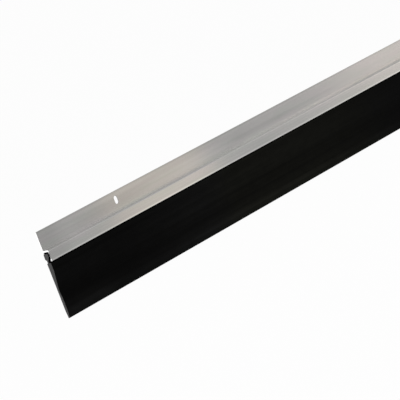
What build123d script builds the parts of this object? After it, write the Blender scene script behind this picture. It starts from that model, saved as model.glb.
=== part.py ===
from build123d import *
import os

# Garage door bottom seal: an aluminium carrier strip with a rubber blade held in its channel.
# X runs along the strip. Y = 0 is the flat back that lies on the door, and the front faces -Y.
# Z is up, and Z = 0 is the middle of the carrier's height. All sizes are in millimetres.

# Lengths
carrier_length = 2134.0
rubber_overhang = 1.4  # the rubber stands this far out of each cut end of the carrier

# Fixing flange, one flat leaf that runs on down as the channel's back wall
leaf_thickness = 1.0
flange_height = 18.3  # top edge down to the ledge
flange_edge_radius = 0.4

# Upright fixing slots
slot_count = 5
slot_width = 4.4
slot_length = 7.8
slot_drop = 8.3  # top edge down to the middle of a slot
slot_end_distance = 107.0  # cut end to the first and last slot

# Channel
web_thickness = 1.6
front_wall_thickness = 1.0
lip_height = 1.6  # back lip
lip_reach = 1.0  # how far the back lip turns in past the leaf
bead_height = 2.0  # the front wall ends in a thicker bead
bead_width = 1.7
ledge_corner_radius = 1.8
bead_radius = 0.6
lip_radius = 0.3
root_radius = 0.4

# Rubber head and neck, inside the channel
fit_clearance = 0.2  # beside the head
head_top_gap = 1.3
head_width = 5.6
head_above_lips = 6.2
head_height = 7.0  # down to the neck, along an underside that slopes in between the lips
head_back_height = 5.0  # straight part of the head's back
head_front_height = 3.2  # straight part of the head's front
head_radius = 0.9
neck_thickness = 1.7
neck_setback = 0.4  # the neck's middle lies this far behind the head's
neck_radius = 0.3

# Rubber blade, below the lips, from the shoulders down to the tip
shoulder_gap = 1.2
shoulder_radius = 0.4
shoulder_setback = 0.55  # the shoulder's and the blade's back lies this far in front of the leaf's face
shoulder_thickness = 5.1
shoulder_height = 7.8
taper_height = 19.2
waist_thickness = 1.9
swell_height = 6.3
blade_thickness = 3.0
blade_height = 13.0
tip_height = 7.0
tip_thickness = 1.4
tip_lean = 0.6  # the tip's back comes in this far
tip_radius = 0.6
waist_blend_radius = 18.0
taper_blend_radius = 6.0

# What follows from them: the channel is as large as the head needs
channel_width = head_width + 2 * fit_clearance
channel_height = web_thickness + head_top_gap + head_above_lips + lip_height
carrier_height = flange_height + channel_height
carrier_depth = leaf_thickness + channel_width + front_wall_thickness
rubber_length = carrier_length + 2 * rubber_overhang
slot_pitch = (carrier_length - 2 * slot_end_distance) / (slot_count - 1)

# Heights
top_edge = carrier_height / 2
bottom_edge = -carrier_height / 2
ledge = top_edge - flange_height
channel_roof = ledge - web_thickness
lip_top = bottom_edge + lip_height
bead_top = bottom_edge + bead_height
slot_line = top_edge - slot_drop
head_top = lip_top + head_above_lips
head_back_end = head_top - head_back_height
head_front_end = head_top - head_front_height
neck_top = head_top - head_height
shoulder = bottom_edge - shoulder_gap
taper_top = shoulder - shoulder_height
waist = taper_top - taper_height
blade_top = waist - swell_height
tip_top = blade_top - blade_height
tip = tip_top - tip_height

# Depths, with the front towards -Y
leaf_front = -leaf_thickness
wall_back = leaf_front - channel_width
wall_front = -carrier_depth
bead_back = wall_front + bead_width
head_middle = leaf_front - channel_width / 2
head_back = head_middle + head_width / 2
head_front = head_middle - head_width / 2
neck_back = head_middle + neck_setback + neck_thickness / 2
neck_front = neck_back - neck_thickness
blade_back = leaf_front - shoulder_setback
shoulder_front = blade_back - shoulder_thickness
tip_back = blade_back - tip_lean

os.makedirs("parts", exist_ok=True)


def corners_at(sketch, y, *heights):
    """The section's corners that stand at depth y and at one of the given heights."""
    return [
        corner
        for corner in sketch.vertices()
        if abs(corner.X - y) < 1e-6 and any(abs(corner.Y - z) < 1e-6 for z in heights)
    ]


# Aluminium carrier: one extrusion, then a row of upright slots through its flange
with BuildPart() as aluminium_carrier:
    with BuildSketch(Plane.YZ.offset(-carrier_length / 2)) as carrier_section:
        with BuildLine():
            Polyline(
                (0, top_edge),
                (0, bottom_edge),
                (leaf_front - lip_reach, bottom_edge),
                (leaf_front - lip_reach, lip_top),
                (leaf_front, lip_top),
                (leaf_front, channel_roof),
                (wall_back, channel_roof),
                (wall_back, bead_top),
                (bead_back, bead_top),
                (bead_back, bottom_edge),
                (wall_front, bottom_edge),
                (wall_front, ledge),
                (leaf_front, ledge),
                (leaf_front, top_edge),
                close=True,
            )
        make_face()
        fillet(corners_at(carrier_section, wall_front, ledge), ledge_corner_radius)
        fillet(corners_at(carrier_section, wall_front, bottom_edge), bead_radius)
        fillet(corners_at(carrier_section, 0, top_edge, bottom_edge), flange_edge_radius)
        fillet(corners_at(carrier_section, leaf_front, top_edge), flange_edge_radius)
        fillet(corners_at(carrier_section, leaf_front, ledge, channel_roof), root_radius)
        fillet(corners_at(carrier_section, wall_back, channel_roof), root_radius)
        fillet(corners_at(carrier_section, leaf_front - lip_reach, lip_top, bottom_edge), lip_radius)
        fillet(corners_at(carrier_section, bead_back, bead_top, bottom_edge), bead_radius)
    extrude(amount=carrier_length)

    with BuildSketch(Plane.XZ):
        with Locations((0, slot_line)):
            with GridLocations(slot_pitch, 0, slot_count, 1):
                SlotOverall(slot_length, slot_width, rotation=90)
    extrude(amount=leaf_thickness, mode=Mode.SUBTRACT)

aluminium_carrier.part.label = "aluminium_carrier"
export_step(aluminium_carrier.part, "parts/aluminium_carrier.step")

# Rubber seal: one extrusion with a head and neck in the channel and a blade below the lips
with BuildPart() as rubber_seal:
    with BuildSketch(Plane.YZ.offset(-rubber_length / 2)) as rubber_section:
        with BuildLine():
            Polyline(
                (head_back, head_top),
                (head_back, head_back_end),
                (neck_back, neck_top),
                (neck_back, shoulder),
                (blade_back, shoulder),
                (blade_back, tip_top),
                (tip_back, tip),
                (tip_back - tip_thickness, tip),
                (blade_back - blade_thickness, tip_top),
                (blade_back - blade_thickness, blade_top),
                (blade_back - waist_thickness, waist),
                (shoulder_front, taper_top),
                (shoulder_front, shoulder),
                (neck_front, shoulder),
                (neck_front, neck_top),
                (head_front, head_front_end),
                (head_front, head_top),
                close=True,
            )
        make_face()
        fillet(corners_at(rubber_section, head_back, head_top, head_back_end), head_radius)
        fillet(corners_at(rubber_section, head_front, head_top, head_front_end), head_radius)
        fillet(corners_at(rubber_section, neck_back, neck_top, shoulder), neck_radius)
        fillet(corners_at(rubber_section, neck_front, neck_top, shoulder), neck_radius)
        fillet(corners_at(rubber_section, blade_back, shoulder), shoulder_radius)
        fillet(corners_at(rubber_section, shoulder_front, shoulder), shoulder_radius)
        fillet(corners_at(rubber_section, shoulder_front, taper_top), taper_blend_radius)
        fillet(corners_at(rubber_section, blade_back - waist_thickness, waist), waist_blend_radius)
        fillet(corners_at(rubber_section, blade_back - blade_thickness, blade_top, tip_top), taper_blend_radius)
        fillet(corners_at(rubber_section, tip_back, tip), tip_radius)
        fillet(corners_at(rubber_section, tip_back - tip_thickness, tip), tip_radius)
    extrude(amount=rubber_length)

rubber_seal.part.label = "rubber_seal"
export_step(rubber_seal.part, "parts/rubber_seal.step")
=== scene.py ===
from math import atan2, ceil, cos, pi, radians, sin, tan

import bpy
from mathutils import Matrix, Vector


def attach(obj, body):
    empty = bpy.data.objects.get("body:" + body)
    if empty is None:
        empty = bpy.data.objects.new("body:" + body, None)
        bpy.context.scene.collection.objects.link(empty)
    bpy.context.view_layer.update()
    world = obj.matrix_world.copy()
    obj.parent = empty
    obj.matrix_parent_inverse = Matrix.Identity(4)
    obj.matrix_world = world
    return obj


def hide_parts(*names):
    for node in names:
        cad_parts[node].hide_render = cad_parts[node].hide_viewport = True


# Garage door bottom seal: an aluminium carrier strip with a rubber blade held in its channel.
# X runs along the strip, the back that lies on the door is Y = 0, the front faces -Y and Z is up.

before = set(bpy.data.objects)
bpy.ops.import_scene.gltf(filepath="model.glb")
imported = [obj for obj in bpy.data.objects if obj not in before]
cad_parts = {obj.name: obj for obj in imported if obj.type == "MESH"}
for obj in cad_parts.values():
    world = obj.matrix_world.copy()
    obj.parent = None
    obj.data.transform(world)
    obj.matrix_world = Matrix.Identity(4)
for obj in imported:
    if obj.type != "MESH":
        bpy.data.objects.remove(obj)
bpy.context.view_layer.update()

MM = 0.001


def mm(*values, start=0.0):
    """Places in metres, from millimetres counted from start."""
    return tuple(start + value * MM for value in values)


# Lengths, the same as the solids'
CARRIER_LENGTH = 2134.0 * MM
RUBBER_OVERHANG = 1.4 * MM  # the rubber stands this far out of each cut end of the carrier

# Fixing flange, one flat leaf that runs on down as the channel's back wall
CARRIER_HEIGHT = 29.0 * MM
LEAF_THICKNESS = 1.0 * MM
FLANGE_HEIGHT = 18.3 * MM  # top edge down to the ledge
FLANGE_EDGE_RADIUS = 0.4 * MM

# Upright fixing slots
SLOT_COUNT = 5
SLOT_PITCH = 480.0 * MM
SLOT_WIDTH = 4.4 * MM
SLOT_LENGTH = 7.8 * MM
SLOT_DROP = 8.3 * MM  # top edge down to the middle of a slot
SLOT_EDGE = 0.15 * MM  # the punch rolls the slot's edges over this much, which the solids leave out

# Channel
WEB_THICKNESS = 1.6 * MM
FRONT_WALL_THICKNESS = 1.0 * MM
LIP_HEIGHT = 1.6 * MM
LIP_REACH = 1.0 * MM
BEAD_HEIGHT = 2.0 * MM
BEAD_WIDTH = 1.7 * MM
LEDGE_CORNER_RADIUS = 1.8 * MM
BEAD_RADIUS = 0.6 * MM
LIP_RADIUS = 0.3 * MM
ROOT_RADIUS = 0.4 * MM

# Rubber head and neck, inside the channel
FIT_CLEARANCE = 0.2 * MM
HEAD_WIDTH = 5.6 * MM
HEAD_ABOVE_LIPS = 6.2 * MM
HEAD_HEIGHT = 7.0 * MM
HEAD_BACK_HEIGHT = 5.0 * MM
HEAD_FRONT_HEIGHT = 3.2 * MM
HEAD_RADIUS = 0.9 * MM
NECK_THICKNESS = 1.7 * MM
NECK_SETBACK = 0.4 * MM  # the neck's middle lies this far behind the head's
NECK_RADIUS = 0.3 * MM

# Rubber blade, below the lips, from the shoulders down to the tip
SHOULDER_GAP = 1.2 * MM
SHOULDER_RADIUS = 0.4 * MM
SHOULDER_SETBACK = 0.55 * MM  # the blade's back lies this far in front of the leaf's face
SHOULDER_THICKNESS = 5.1 * MM
SHOULDER_HEIGHT = 7.8 * MM
TAPER_HEIGHT = 19.2 * MM
WAIST_THICKNESS = 1.9 * MM
SWELL_HEIGHT = 6.3 * MM
BLADE_THICKNESS = 3.0 * MM
BLADE_HEIGHT = 13.0 * MM
TIP_HEIGHT = 7.0 * MM
TIP_THICKNESS = 1.4 * MM
TIP_LEAN = 0.6 * MM  # the tip's back comes in this far
TIP_RADIUS = 0.6 * MM
WAIST_BLEND_RADIUS = 18.0 * MM
TAPER_BLEND_RADIUS = 6.0 * MM

# Heights
TOP_EDGE = CARRIER_HEIGHT / 2
BOTTOM_EDGE = -CARRIER_HEIGHT / 2
LEDGE = TOP_EDGE - FLANGE_HEIGHT
CHANNEL_ROOF = LEDGE - WEB_THICKNESS
LIP_TOP = BOTTOM_EDGE + LIP_HEIGHT
BEAD_TOP = BOTTOM_EDGE + BEAD_HEIGHT
SLOT_LINE = TOP_EDGE - SLOT_DROP
HEAD_TOP = LIP_TOP + HEAD_ABOVE_LIPS
HEAD_BACK_END = HEAD_TOP - HEAD_BACK_HEIGHT
HEAD_FRONT_END = HEAD_TOP - HEAD_FRONT_HEIGHT
NECK_TOP = HEAD_TOP - HEAD_HEIGHT
SHOULDER = BOTTOM_EDGE - SHOULDER_GAP
TAPER_TOP = SHOULDER - SHOULDER_HEIGHT
WAIST = TAPER_TOP - TAPER_HEIGHT
BLADE_TOP = WAIST - SWELL_HEIGHT
TIP_TOP = BLADE_TOP - BLADE_HEIGHT
TIP = TIP_TOP - TIP_HEIGHT

# Depths, with the front towards -Y
CHANNEL_WIDTH = HEAD_WIDTH + 2 * FIT_CLEARANCE
LEAF_FRONT = -LEAF_THICKNESS
LIP_FRONT = LEAF_FRONT - LIP_REACH
WALL_BACK = LEAF_FRONT - CHANNEL_WIDTH
WALL_FRONT = WALL_BACK - FRONT_WALL_THICKNESS
BEAD_BACK = WALL_FRONT + BEAD_WIDTH
HEAD_MIDDLE = LEAF_FRONT - CHANNEL_WIDTH / 2
HEAD_BACK = HEAD_MIDDLE + HEAD_WIDTH / 2
HEAD_FRONT = HEAD_MIDDLE - HEAD_WIDTH / 2
NECK_BACK = HEAD_MIDDLE + NECK_SETBACK + NECK_THICKNESS / 2
NECK_FRONT = NECK_BACK - NECK_THICKNESS
BLADE_BACK = LEAF_FRONT - SHOULDER_SETBACK
SHOULDER_FRONT = BLADE_BACK - SHOULDER_THICKNESS
WAIST_FRONT = BLADE_BACK - WAIST_THICKNESS
BLADE_FRONT = BLADE_BACK - BLADE_THICKNESS
TIP_BACK = BLADE_BACK - TIP_LEAN
TIP_FRONT = TIP_BACK - TIP_THICKNESS

# Places along the strip
SHOWN_CUT = -CARRIER_LENGTH / 2
SLOT_PLACES = [SLOT_PITCH * (n - (SLOT_COUNT - 1) / 2) for n in range(SLOT_COUNT)]

# How finely the meshes are divided
ARC_STEP = radians(8)
LEAST_ARC_STEPS = 5
SLOT_QUARTER_STEPS = 10
LENGTHWISE_PIECES = 40
SLOT_PANEL = SLOT_WIDTH  # half the length of the panel that a slot is cut in
SLOT_CLEARING = 2 * SLOT_WIDTH  # no other division of the strip comes nearer to that panel
SAME_PLACE = 1e-7

# Each piece's materials, in the order in which it gets them
SKIN = 0
CUT_FACE = 1


# Sections

def turned(direction):
    """The outward side of a run that goes clockwise round the section, seen from +X."""
    return Vector((-direction.y, direction.x))


def rounded_outline(corners):
    """Points round a section from corners (y, z, radius), and for each side its normals at both ends."""
    points, normals = [], []
    count = len(corners)
    for i, (y, z, radius) in enumerate(corners):
        here = Vector((y, z))
        before = Vector(corners[i - 1][:2])
        after = Vector(corners[(i + 1) % count][:2])
        way_in = (here - before).normalized()
        way_out = (after - here).normalized()
        normal_out = turned(way_out)
        if radius:
            turn = atan2(way_in.x * way_out.y - way_in.y * way_out.x, way_in.dot(way_out))
            side = 1 if turn < 0 else -1
            start = here - way_in * radius * tan(abs(turn) / 2)
            normal_in = turned(way_in)
            centre = start - normal_in * radius * side
            steps = max(LEAST_ARC_STEPS, ceil(abs(turn) / ARC_STEP))
            arc = [Matrix.Rotation(turn * s / steps, 2) @ normal_in for s in range(steps + 1)]
            for s in range(steps):
                points.append(centre + arc[s] * radius * side)
                normals.append((arc[s], arc[s + 1]))
            points.append(centre + arc[steps] * radius * side)
        else:
            points.append(here)
        normals.append((normal_out, normal_out))
    return points, normals


carrier_section = rounded_outline([
    (0, TOP_EDGE, FLANGE_EDGE_RADIUS),
    (0, BOTTOM_EDGE, FLANGE_EDGE_RADIUS),
    (LIP_FRONT, BOTTOM_EDGE, LIP_RADIUS),
    (LIP_FRONT, LIP_TOP, LIP_RADIUS),
    (LEAF_FRONT, LIP_TOP, 0),
    (LEAF_FRONT, CHANNEL_ROOF, ROOT_RADIUS),
    (WALL_BACK, CHANNEL_ROOF, ROOT_RADIUS),
    (WALL_BACK, BEAD_TOP, 0),
    (BEAD_BACK, BEAD_TOP, BEAD_RADIUS),
    (BEAD_BACK, BOTTOM_EDGE, BEAD_RADIUS),
    (WALL_FRONT, BOTTOM_EDGE, BEAD_RADIUS),
    (WALL_FRONT, LEDGE, LEDGE_CORNER_RADIUS),
    (LEAF_FRONT, LEDGE, ROOT_RADIUS),
    (LEAF_FRONT, TOP_EDGE, FLANGE_EDGE_RADIUS),
])

rubber_section = rounded_outline([
    (HEAD_BACK, HEAD_TOP, HEAD_RADIUS),
    (HEAD_BACK, HEAD_BACK_END, HEAD_RADIUS),
    (NECK_BACK, NECK_TOP, NECK_RADIUS),
    (NECK_BACK, SHOULDER, NECK_RADIUS),
    (BLADE_BACK, SHOULDER, SHOULDER_RADIUS),
    (BLADE_BACK, TIP_TOP, 0),
    (TIP_BACK, TIP, TIP_RADIUS),
    (TIP_FRONT, TIP, TIP_RADIUS),
    (BLADE_FRONT, TIP_TOP, TAPER_BLEND_RADIUS),
    (BLADE_FRONT, BLADE_TOP, TAPER_BLEND_RADIUS),
    (WAIST_FRONT, WAIST, WAIST_BLEND_RADIUS),
    (SHOULDER_FRONT, TAPER_TOP, TAPER_BLEND_RADIUS),
    (SHOULDER_FRONT, SHOULDER, SHOULDER_RADIUS),
    (NECK_FRONT, SHOULDER, NECK_RADIUS),
    (NECK_FRONT, NECK_TOP, NECK_RADIUS),
    (HEAD_FRONT, HEAD_FRONT_END, HEAD_RADIUS),
    (HEAD_FRONT, HEAD_TOP, HEAD_RADIUS),
])


# Meshes

def new_object(name, data):
    thing = bpy.data.objects.new(name, data)
    bpy.context.scene.collection.objects.link(thing)
    return thing


class Strip:
    """Collects a mesh whose corners each carry their own normal and surface coordinate."""

    def __init__(self):
        self.verts, self.faces, self.normals, self.uvs, self.kinds = [], [], [], [], []

    def vert(self, x, y, z):
        self.verts.append((x, y, z))
        return len(self.verts) - 1

    def face(self, corners, kind=SKIN):
        """corners: (vertex, normal, surface coordinate) in order round the face."""
        self.faces.append([c[0] for c in corners])
        self.normals.extend(c[1] for c in corners)
        self.uvs.extend(c[2] for c in corners)
        self.kinds.append(kind)

    def build(self, name, materials):
        mesh = bpy.data.meshes.new(name)
        mesh.from_pydata(self.verts, [], self.faces)
        for material in materials:
            mesh.materials.append(material)
        layer = mesh.uv_layers.new(name="surface")
        for loop, uv in zip(layer.data, self.uvs):
            loop.uv = uv
        for polygon, kind in zip(mesh.polygons, self.kinds):
            polygon.material_index = kind
            polygon.use_smooth = True
        mesh.normals_split_custom_set([tuple(n) for n in self.normals])
        mesh.update()
        return new_object(name, mesh)


def across(normal):
    return (0.0, normal.x, normal.y)


def slot_outline(strip, middle, y, grow):
    """One slot's outline at depth y, in four quarters from the lower left, anticlockwise from the front.

    Each of its points is a vertex, the normal of the slot's wall there, x and z.
    """
    radius = SLOT_WIDTH / 2 + grow
    rise = (SLOT_LENGTH - SLOT_WIDTH) / 2
    quarters = []
    for first, lift in ((180, -rise), (270, -rise), (0, rise), (90, rise)):
        quarter = []
        for s in range(SLOT_QUARTER_STEPS + 1):
            a = radians(first + 90 * s / SLOT_QUARTER_STEPS)
            if s == 0 and first in (90, 270):
                quarter.append(quarters[-1][-1])
                continue
            x, z = middle + radius * cos(a), SLOT_LINE + lift + radius * sin(a)
            quarter.append((strip.vert(x, y, z), Vector((-cos(a), 0, -sin(a))), x, z))
        quarters.append(quarter)
    return quarters


def add_slot_rim(strip, quarters, corners, normal, flip):
    """Fills the flat panel between one slot's outline and the four vertices round it."""
    def flat(vertex):
        x, _, z = strip.verts[vertex]
        return vertex, normal, (z, x)

    for q, quarter in enumerate(quarters):
        after = (q + 1) % 4
        rounds = [[corners[q], quarter[s + 1][0], quarter[s][0]] for s in range(len(quarter) - 1)]
        bridge = [corners[q], corners[after], quarters[after][0][0]]
        if quarter[-1][0] != quarters[after][0][0]:
            bridge.append(quarter[-1][0])
        for ids in rounds + [bridge]:
            if flip:
                ids = ids[::-1]
            strip.face([flat(v) for v in ids])


def add_slot(strip, middle, front_corners, back_corners):
    """Cuts one slot. The four corners round it go from the lower left, anticlockwise from the front."""
    to_front, to_back = (0, -1, 0), (0, 1, 0)
    outlines = [
        slot_outline(strip, middle, LEAF_FRONT, SLOT_EDGE),
        slot_outline(strip, middle, LEAF_FRONT + SLOT_EDGE, 0),
        slot_outline(strip, middle, -SLOT_EDGE, 0),
        slot_outline(strip, middle, 0, SLOT_EDGE),
    ]
    add_slot_rim(strip, outlines[0], front_corners, to_front, flip=False)
    add_slot_rim(strip, outlines[-1], back_corners, to_back, flip=True)

    rings = []
    for quarters in outlines:
        ring = []
        for quarter in quarters:
            ring.extend(p for p in quarter if not ring or p[0] != ring[-1][0])
        rings.append(ring)
    last_level = len(rings) - 2
    for level in range(last_level + 1):
        near, far = rings[level], rings[level + 1]
        for i in range(len(near)):
            j = (i + 1) % len(near)
            corner_normals = [near[i][1], near[j][1], far[j][1], far[i][1]]
            if level == 0:
                corner_normals[0] = corner_normals[1] = to_front
            if level == last_level:
                corner_normals[2] = corner_normals[3] = to_back
            ids = [near[i][0], near[j][0], far[j][0], far[i][0]]
            strip.face([
                (v, n, (strip.verts[v][1], strip.verts[v][0])) for v, n in zip(ids, corner_normals)
            ])


def extruded(section, length, slotted=()):
    """A section drawn out along X, with capped ends and slots at the given places."""
    points, normals = section
    half = length / 2
    stations = [-half + length * i / LENGTHWISE_PIECES for i in range(LENGTHWISE_PIECES + 1)]
    spans = {}
    for middle in slotted:
        low, high = middle - SLOT_PANEL, middle + SLOT_PANEL
        stations = [x for x in stations if not low - SLOT_CLEARING < x < high + SLOT_CLEARING]
        stations += [low, high]
        spans[low] = middle
    stations.sort()
    strip = Strip()
    rings = [[strip.vert(x, p.x, p.y) for p in points] for x in stations]
    distance = [0.0]
    for i in range(len(points)):
        distance.append(distance[-1] + (points[(i + 1) % len(points)] - points[i]).length)

    def is_leaf(i, depth):
        """Whether the side after point i is the flat of the leaf at that depth, where the slots are."""
        a, b = points[i], points[(i + 1) % len(points)]
        on_face = abs(a.x - depth) < SAME_PLACE and abs(b.x - depth) < SAME_PLACE
        below = min(a.y, b.y) < SLOT_LINE - SLOT_LENGTH / 2
        above = max(a.y, b.y) > SLOT_LINE + SLOT_LENGTH / 2
        return on_face and below and above

    for s in range(len(stations) - 1):
        x0, x1 = stations[s], stations[s + 1]
        near, far = rings[s], rings[s + 1]
        slot_middle = spans.get(x0)
        front = back = None
        for i in range(len(points)):
            j = (i + 1) % len(points)
            if slot_middle is not None and is_leaf(i, LEAF_FRONT):
                front = (near[i], far[i], far[j], near[j])
                continue
            if slot_middle is not None and is_leaf(i, 0):
                back = (near[j], far[j], far[i], near[i])
                continue
            first, last = across(normals[i][0]), across(normals[i][1])
            strip.face([
                (near[i], first, (distance[i], x0)),
                (far[i], first, (distance[i], x1)),
                (far[j], last, (distance[i + 1], x1)),
                (near[j], last, (distance[i + 1], x0)),
            ])
        if slot_middle is not None:
            add_slot(strip, slot_middle, front, back)

    for ring, direction in ((rings[0], -1), (rings[-1][::-1], 1)):
        strip.face([(v, (direction, 0, 0), strip.verts[v][1:]) for v in ring], kind=CUT_FACE)
    return strip


# Materials

def new_material(name):
    material = bpy.data.materials.new(name)
    material.use_nodes = True
    material.node_tree.nodes.clear()
    return material, material.node_tree


def node(tree, kind, inputs=None, **settings):
    made = tree.nodes.new("ShaderNode" + kind)
    for key, value in settings.items():
        setattr(made, key, value)
    for key, value in (inputs or {}).items():
        socket = made.inputs[key]
        if isinstance(value, bpy.types.NodeSocket):
            tree.links.new(value, socket)
        else:
            socket.default_value = value
    return made


def object_place(tree):
    return node(tree, "TexCoord").outputs["Object"]


def coordinates(tree):
    return node(tree, "SeparateXYZ", {"Vector": object_place(tree)}).outputs


def noise(tree, scale, detail, roughness=0.5, shift=0.0, turn=0.0):
    """Noise with that many waves a metre along X, Y and Z, turned about X by an angle."""
    mapping = node(tree, "Mapping", {
        "Vector": object_place(tree),
        "Location": (shift, shift, shift),
        "Rotation": (turn, 0, 0),
        "Scale": scale,
    })
    made = node(tree, "TexNoise", {
        "Vector": mapping.outputs["Vector"],
        "Scale": 1.0,
        "Detail": detail,
        "Roughness": roughness,
    })
    return made.outputs["Fac"]


def grain(tree, along, wide, detail, shift, roughness=0.5):
    """Noise of about that length along X and that width across it, in metres."""
    return noise(tree, (1 / along, 1 / wide, 1 / wide), detail, roughness, shift)


def ranged(tree, value, source, to=(0, 1), smooth=False):
    """The value moved from the range source to the range to, and held at its ends."""
    made = node(tree, "MapRange", {
        "Value": value,
        "From Min": source[0],
        "From Max": source[1],
        "To Min": to[0],
        "To Max": to[1],
    })
    if smooth:
        made.interpolation_type = "SMOOTHSTEP"
    return made.outputs["Result"]


def maths(tree, operation, a, b):
    return node(tree, "Math", {0: a, 1: b}, operation=operation).outputs[0]


def mixed(tree, factor, dark, light):
    """The colour from dark at 0 to light at 1."""
    made = node(tree, "Mix", {"Factor": factor, "A": (*dark, 1), "B": (*light, 1)}, data_type="RGBA")
    return made.outputs["Result"]


def tinted(tree, colour, tint):
    return node(tree, "VectorMath", {0: colour, 1: tint}, operation="MULTIPLY").outputs["Vector"]


def scaled_colour(tree, colour, factor):
    return node(tree, "VectorMath", {0: colour, "Scale": factor}, operation="SCALE").outputs["Vector"]


def toned(tree, colour, along, source, to):
    """The colour times a factor that goes smoothly from one value to another between two places."""
    return scaled_colour(tree, colour, ranged(tree, along, source, to, smooth=True))


def toned_where(tree, colour, share, factor):
    """The colour times the factor where share is 1, and as it is where share is 0."""
    return scaled_colour(tree, colour, ranged(tree, share, (0, 1), (1.0, factor)))


def stretch(tree, along, span):
    """1 between the span's two middle places, fading smoothly to 0 at its outer two."""
    rise = ranged(tree, along, span[:2], (0, 1), smooth=True)
    fall = ranged(tree, along, span[2:], (1, 0), smooth=True)
    return maths(tree, "MULTIPLY", rise, fall)


def patched(tree, colour, place, patches, where=1.0):
    """The colour times each patch's factor inside its spans along X and Z, as far as where lets it show."""
    for x_span, z_span, factor in patches:
        inside_x = stretch(tree, place["X"], x_span)
        inside_z = stretch(tree, place["Z"], z_span)
        patch = maths(tree, "MULTIPLY", maths(tree, "MULTIPLY", inside_x, inside_z), where)
        colour = toned_where(tree, colour, patch, factor)
    return colour


def bumped(tree, height, strength, depth):
    made = node(tree, "Bump", {"Height": height, "Strength": strength, "Distance": depth})
    return made.outputs["Normal"]


def finished(tree, shader):
    node(tree, "OutputMaterial", {"Surface": shader})


# Colours, each as a dark and a light end, and tints that the colours are multiplied by
MILL_DARK, MILL_LIGHT = (0.318, 0.316, 0.311), (0.37, 0.368, 0.362)
SAWN_DARK, SAWN_LIGHT = (0.88, 0.875, 0.87), (0.96, 0.957, 0.953)
RUBBER_DARK, RUBBER_LIGHT = (0.0009, 0.00092, 0.0009), (0.0021, 0.00213, 0.0021)
CUT_DARK, CUT_LIGHT = (0.05, 0.05, 0.051), (0.094, 0.093, 0.092)
GREENISH, PINKISH = (0.985, 1.0, 0.98), (1.02, 0.995, 1.005)
UNTINTED, OLIVE = (1.0, 1.0, 1.0), (1.0, 1.0, 0.8)

# Painted reflections and shade on the aluminium: where each fades in and out along X and Z, and its factor
ALUMINIUM_PAINTED_LIGHT_PATCHES = (
    (mm(-1030, -980, -950, -900), (LEDGE, *mm(2, 6, 11)), 0.9),
    (mm(-920, -860, -830, -780), (LEDGE, *mm(1, 7, 12)), 1.09),
    (mm(-800, -770, -720, -670), mm(0, 1, 4, 8), 0.93),
    (mm(-1200, -1100, -660, -560), mm(0, 0.3, 0.8, 3.5, start=LEDGE), 1.15),
    (mm(-790, -740, -660, -600), mm(0, 0.5, 2.0, 4.5, start=LEDGE), 1.06),
    (mm(-990, -880, -850, -760), (*mm(-16, -15), *mm(-2, 0, start=LEDGE)), 1.12),
)

# Painted light and shade on the rubber, its lighter and darker bands, in the same way
WHOLE_LENGTH = mm(-1200, -1100, 1100, 1200)
SHOWN_END = mm(-1090, -1080, -1030, -980)
RUBBER_PAINTED_BANDS = (
    (WHOLE_LENGTH, mm(-42, -38, -10, -5), 1.12),
    (WHOLE_LENGTH, mm(-57, -52, -46, -41), 0.85),
    (SHOWN_END, mm(-38, -34, -10, -5), 1.25),
    (SHOWN_END, mm(-80, -75, -62, -48), 1.8),
)


def aluminium_skin():
    """Mill-finish extrusion, smooth along and rough across, with die lines along X, clouds, and painted
    light and shade.
    """
    material, tree = new_material("aluminium_skin")
    fine = grain(tree, along=250 * MM, wide=0.5 * MM, detail=3, shift=1.3)
    broad = grain(tree, along=900 * MM, wide=3 * MM, detail=3, shift=7.1)
    clouds = grain(tree, along=90 * MM, wide=20 * MM, detail=4, shift=3.7, roughness=0.6)
    oxide = grain(tree, along=60 * MM, wide=8 * MM, detail=2, shift=15.2)
    place = coordinates(tree)

    lines = maths(tree, "ADD", maths(tree, "MULTIPLY", fine, 0.5), maths(tree, "MULTIPLY", broad, 0.5))
    base = mixed(tree, ranged(tree, lines, (0.3, 0.7)), MILL_DARK, MILL_LIGHT)
    base = scaled_colour(tree, base, ranged(tree, clouds, (0.25, 0.75), (0.95, 1.05)))

    # Painted highlight brightens the bottom edge, and painted shade darkens the top edge and the shown end
    base = toned(tree, base, place["Z"], mm(0.9, 2.2, start=BOTTOM_EDGE), (1.33, 1.0))
    base = toned(tree, base, place["Z"], mm(-2.0, -1.2, start=TOP_EDGE), (1.0, 0.92))
    base = toned(tree, base, place["X"], mm(12, 38, start=SHOWN_CUT), (0.87, 1.0))

    # Painted light: the ledge is brighter than the walls
    depth_span = (*mm(0.6, 1.5, start=WALL_FRONT), *mm(-0.3, 0, start=LEAF_FRONT))
    ledge_light_depth = stretch(tree, place["Y"], depth_span)
    ledge_light_height = stretch(tree, place["Z"], mm(-0.5, -0.2, 0.1, 0.4, start=LEDGE))
    base = toned_where(tree, base, maths(tree, "MULTIPLY", ledge_light_depth, ledge_light_height), 1.8)

    base = tinted(tree, base, mixed(tree, ranged(tree, oxide, (0.35, 0.65)), GREENISH, PINKISH))
    # Painted reflections and shade in stretches, on the front only
    front = ranged(tree, place["Y"], (LEAF_FRONT, LEAF_FRONT / 2), (1, 0))
    base = patched(tree, base, place, ALUMINIUM_PAINTED_LIGHT_PATCHES, front)

    line_roughness = ranged(tree, broad, (0.2, 0.8), (0.20, 0.26))
    cloud_roughness = ranged(tree, clouds, (0.2, 0.8), (-0.015, 0.02))
    height = maths(tree, "ADD", maths(tree, "MULTIPLY", fine, 0.4), broad)
    tangent = node(tree, "Tangent", direction_type="UV_MAP", uv_map="surface")
    shader = node(tree, "BsdfPrincipled", {
        "Base Color": base,
        "Metallic": 1.0,
        "Roughness": maths(tree, "ADD", line_roughness, cloud_roughness),
        "Anisotropic": 1.0,
        "Tangent": tangent.outputs["Tangent"],
        "Normal": bumped(tree, height, strength=0.25, depth=0.02 * MM),
    })
    finished(tree, shader.outputs["BSDF"])
    return material


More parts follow.
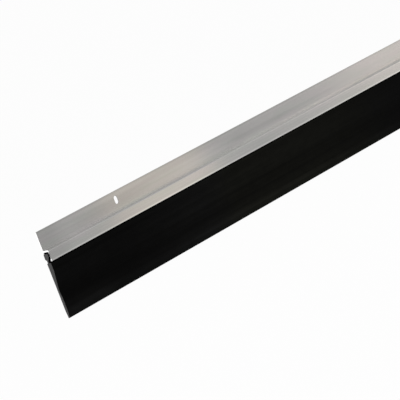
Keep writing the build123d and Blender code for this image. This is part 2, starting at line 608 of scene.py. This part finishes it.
def aluminium_sawn():
    """Bright sawn end, with the saw's marks across it and a painted shadow of the rubber head on the front
    wall's end.
    """
    material, tree = new_material("aluminium_sawn")
    marks = noise(tree, scale=(1, 5000, 220), detail=3, turn=radians(24))
    base = mixed(tree, ranged(tree, marks, (0.3, 0.7)), SAWN_DARK, SAWN_LIGHT)
    # Painted shadow of the rubber head darkens the front wall's sawn end
    head_shadow_span = (*mm(-0.2, 0.6, start=BEAD_TOP), *mm(-2.2, -1.6, start=LEDGE))
    base = toned_where(tree, base, stretch(tree, coordinates(tree)["Z"], head_shadow_span), 0.7)
    shader = node(tree, "BsdfPrincipled", {
        "Base Color": base,
        "Metallic": 1.0,
        "Roughness": ranged(tree, marks, (0.2, 0.8), (0.38, 0.52)),
        "Normal": bumped(tree, marks, strength=0.35, depth=0.03 * MM),
    })
    finished(tree, shader.outputs["BSDF"])
    return material


def rubber_skin():
    """Black extruded rubber, dull all over, with fine lines along X, faint dusty streaks, and painted light
    and shade.
    """
    material, tree = new_material("rubber_skin")
    fine = grain(tree, along=180 * MM, wide=0.6 * MM, detail=3, shift=2.1)
    streaks = grain(tree, along=350 * MM, wide=4 * MM, detail=4, shift=5.3, roughness=0.6)
    dust = grain(tree, along=12 * MM, wide=6 * MM, detail=5, shift=9.2, roughness=0.65)
    place = coordinates(tree)

    base = mixed(tree, ranged(tree, streaks, (0.3, 0.75)), RUBBER_DARK, RUBBER_LIGHT)
    base = scaled_colour(tree, base, ranged(tree, dust, (0.3, 0.75), (0.85, 1.25)))
    # Painted light: the rubber is brighter along this stretch of the strip
    base = toned_where(tree, base, stretch(tree, place["X"], mm(-1000, -800, -720, -500)), 2.6)
    olive = stretch(tree, place["X"], mm(-870, -800, -620, -530))
    base = tinted(tree, base, mixed(tree, olive, UNTINTED, OLIVE))
    # Painted light and shade in bands along the blade
    base = patched(tree, base, place, RUBBER_PAINTED_BANDS)
    # Painted highlight: the tip is brighter
    base = toned(tree, base, place["Z"], mm(-2, 8, start=TIP_TOP), (1.6, 1.0))

    height = maths(tree, "ADD", fine, maths(tree, "MULTIPLY", dust, 0.3))
    shader = node(tree, "BsdfPrincipled", {
        "Base Color": base,
        "Roughness": ranged(tree, streaks, (0.2, 0.8), (0.48, 0.62)),
        "Specular IOR Level": 0.014,
        "Normal": bumped(tree, height, strength=0.3, depth=0.05 * MM),
    })
    finished(tree, shader.outputs["BSDF"])
    return material


def rubber_cut():
    """Grey cut face of the rubber, dull and slightly torn."""
    material, tree = new_material("rubber_cut")
    torn = grain(tree, along=1 * MM, wide=0.8 * MM, detail=5, shift=4.4, roughness=0.6)
    shader = node(tree, "BsdfPrincipled", {
        "Base Color": mixed(tree, ranged(tree, torn, (0.3, 0.7)), CUT_DARK, CUT_LIGHT),
        "Roughness": 0.85,
        "Specular IOR Level": 0.2,
        "Normal": bumped(tree, torn, strength=0.5, depth=0.1 * MM),
    })
    finished(tree, shader.outputs["BSDF"])
    return material


# The two pieces

carrier = extruded(carrier_section, CARRIER_LENGTH, SLOT_PLACES).build(
    "carrier_strip", [aluminium_skin(), aluminium_sawn()])
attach(carrier, "root")
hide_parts("aluminium_carrier")

blade = extruded(rubber_section, CARRIER_LENGTH + 2 * RUBBER_OVERHANG).build(
    "seal_strip", [rubber_skin(), rubber_cut()])
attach(blade, "root")
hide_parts("rubber_seal")


# Camera

CAMERA_AZIMUTH = radians(-44.980)
CAMERA_ELEVATION = radians(8.299)
CAMERA_ROLL = radians(20.781)
CAMERA_AIM = Vector((-0.85771, -0.0013, -0.03245))
CAMERA_DISTANCE = 2.3969
SENSOR_WIDTH = 36.0  # this and the lens are in Blender's own millimetres
LENS = 225.0
NEAREST_SEEN = 0.05
FARTHEST_SEEN = 200.0

to_camera = Vector((
    sin(CAMERA_AZIMUTH) * cos(CAMERA_ELEVATION),
    -cos(CAMERA_AZIMUTH) * cos(CAMERA_ELEVATION),
    sin(CAMERA_ELEVATION),
))
level = (-to_camera).cross(Vector((0, 0, 1))).normalized()
down = (-to_camera).cross(level)
image_right = cos(CAMERA_ROLL) * level + sin(CAMERA_ROLL) * down
image_down = -sin(CAMERA_ROLL) * level + cos(CAMERA_ROLL) * down
camera_turn = Matrix((image_right, -image_down, to_camera)).transposed()

camera_data = bpy.data.cameras.new("camera")
camera_data.sensor_width = SENSOR_WIDTH
camera_data.lens = LENS
camera_data.clip_start = NEAREST_SEEN
camera_data.clip_end = FARTHEST_SEEN
camera = new_object("camera", camera_data)
camera.matrix_world = Matrix.Translation(CAMERA_AIM + to_camera * CAMERA_DISTANCE) @ camera_turn.to_4x4()
bpy.context.scene.camera = camera


# Floor, world and lamps

FLOOR_HEIGHT = -0.5
FLOOR_HALF = 30.0
FLOOR_COLOUR = (0.9, 0.9, 0.9, 1)
WHITE = (1, 1, 1, 1)
SHADOW_SHARE = 0.12  # share of the lit floor, with its shadow, in the white that is seen directly
WORLD_LIGHT = 0.9
WORLD_SEEN = 1.0


def seen_directly(tree):
    """1 for camera, glossy and transmission rays, which see the plain white surroundings."""
    path = node(tree, "LightPath").outputs
    shown = maths(tree, "MAXIMUM", path["Is Camera Ray"], path["Is Glossy Ray"])
    return maths(tree, "MAXIMUM", shown, path["Is Transmission Ray"])


def floor_material():
    """Pale floor that is nearly white when seen directly, and clear from below."""
    material, tree = new_material("studio_floor")
    lit = node(tree, "BsdfDiffuse", {"Color": FLOOR_COLOUR}).outputs["BSDF"]
    white = node(tree, "Emission", {"Color": WHITE, "Strength": 1.0}).outputs["Emission"]
    shown = node(tree, "MixShader", {0: SHADOW_SHARE, 1: white, 2: lit}).outputs["Shader"]
    above = node(tree, "MixShader", {0: seen_directly(tree), 1: lit, 2: shown}).outputs["Shader"]
    clear = node(tree, "BsdfTransparent").outputs["BSDF"]
    underside = node(tree, "NewGeometry").outputs["Backfacing"]
    finished(tree, node(tree, "MixShader", {0: underside, 1: above, 2: clear}).outputs["Shader"])
    return material


floor_mesh = bpy.data.meshes.new("floor")
floor_mesh.from_pydata(
    [(x * FLOOR_HALF, y * FLOOR_HALF, FLOOR_HEIGHT) for x, y in ((-1, -1), (1, -1), (1, 1), (-1, 1))],
    [], [(0, 1, 2, 3)])
floor_mesh.materials.append(floor_material())
floor = new_object("floor", floor_mesh)

world = bpy.data.worlds.new("studio")
bpy.context.scene.world = world
world.use_nodes = True
world.node_tree.nodes.clear()
strength = ranged(world.node_tree, seen_directly(world.node_tree), (0, 1), (WORLD_LIGHT, WORLD_SEEN))
surround = node(world.node_tree, "Background", {"Color": WHITE, "Strength": strength})
node(world.node_tree, "OutputWorld", {"Surface": surround.outputs["Background"]})


def softbox(name, place, target, width, height, radiance, colour=(1, 1, 1), spread=180.0):
    """An area lamp of that size, as bright as that radiance straight on.

    A grid may narrow the spread of its light, in degrees, which leaves it as bright straight on.
    """
    lamp = bpy.data.lights.new(name, "AREA")
    lamp.shape = "RECTANGLE"
    lamp.size = width
    lamp.size_y = height
    lamp.spread = radians(spread)
    lamp.energy = radiance * pi * width * height * (1 - radians(spread / 2) / tan(radians(spread / 2)))
    lamp.color = colour
    holder = new_object(name, lamp)
    aim = (Vector(target) - Vector(place)).to_track_quat("-Z", "Y").to_matrix().to_4x4()
    holder.matrix_world = Matrix.Translation(place) @ aim
    holder.visible_camera = False


softbox("overhead", place=(-0.3, -0.6, 2.6), target=(-0.3, 0, 0), width=2.4, height=1.4, radiance=1.0)
softbox("warm_band", place=(-0.521, -0.4, -0.07), target=(-0.908, 0, 0), width=0.132, height=0.5,
        radiance=0.5, colour=(1.0, 0.79, 0.52), spread=80.0)
softbox("far_band", place=(2.856, -2.5, 0.55), target=(2.856, 0, 0.55), width=1.2, height=2.0,
        radiance=1.4, colour=(1.0, 0.86, 0.76))
softbox("key", place=(1.2, -2.0, 1.6), target=(-0.8, 0, 0), width=1.6, height=1.2, radiance=0.4)
softbox("end_light", place=(-2.6, 2.2, 0.2), target=(-1.067, 0, 0), width=1.2, height=1.6, radiance=1.2)


# View

bpy.context.scene.view_settings.view_transform = "Standard"
